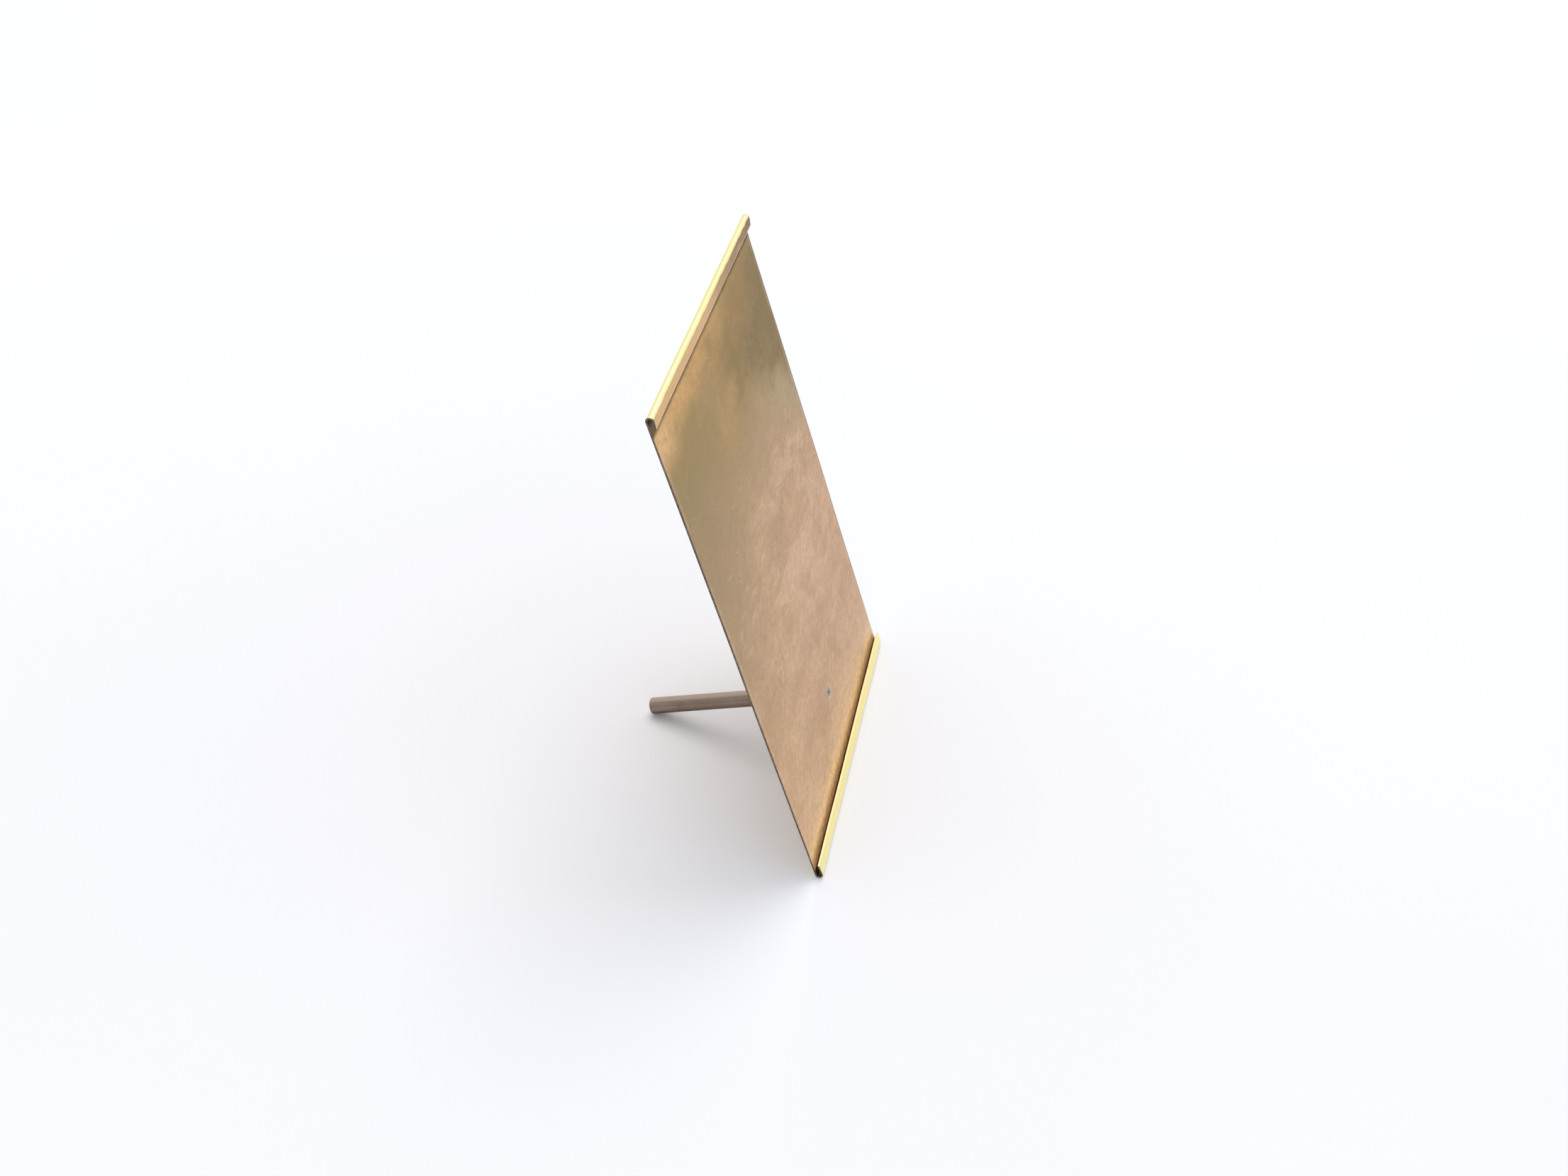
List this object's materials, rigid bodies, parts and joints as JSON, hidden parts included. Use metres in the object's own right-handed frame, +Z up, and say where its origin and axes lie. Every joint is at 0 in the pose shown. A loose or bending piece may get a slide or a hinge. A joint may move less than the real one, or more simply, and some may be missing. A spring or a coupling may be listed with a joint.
{
  "type": "photo print stand",
  "caption": "Leaning brass stand for a photo print: a thin sheet folded into a channel along its top and bottom edges, propped from behind by a round rod leg.",
  "frame": {"origin": "middle of the whole stand's footprint, on the surface that it stands on", "axes": "+Z up, the side that shows the print faces -Y, the leg reaches towards +Y, and X runs along the channels"},
  "size_m": [0.102, 0.0634, 0.1441],
  "materials": {
    "brass_sheet": "satin, softly tarnished, faintly clouded along the slope",
    "brass_rod": "drawn rod, dull and browned",
    "steel_screw": "plated, dull"
  },
  "bodies": {
    "panel": {"folded_panel": "brass_sheet"},
    "leg": {"leg_rod": "brass_rod"},
    "screw": {"leg_screw": "steel_screw"}
  },
  "joints": [
    {"name": "leg_draw", "type": "slide", "parent": "panel", "child": "leg", "axis": [0, 0.9347, -0.3555], "range_m": [0, 0.0072]},
    {"name": "screw_turn", "type": "hinge", "parent": "panel", "child": "screw", "pos_m": [0, -0.02137, 0.0221], "axis": [0, -0.9347, 0.3555], "range_deg": [0, 6480]}
  ],
  "couplings": [
    {"joint": "screw_turn", "follows": "leg_draw", "rad_per_m": 15708}
  ]
}
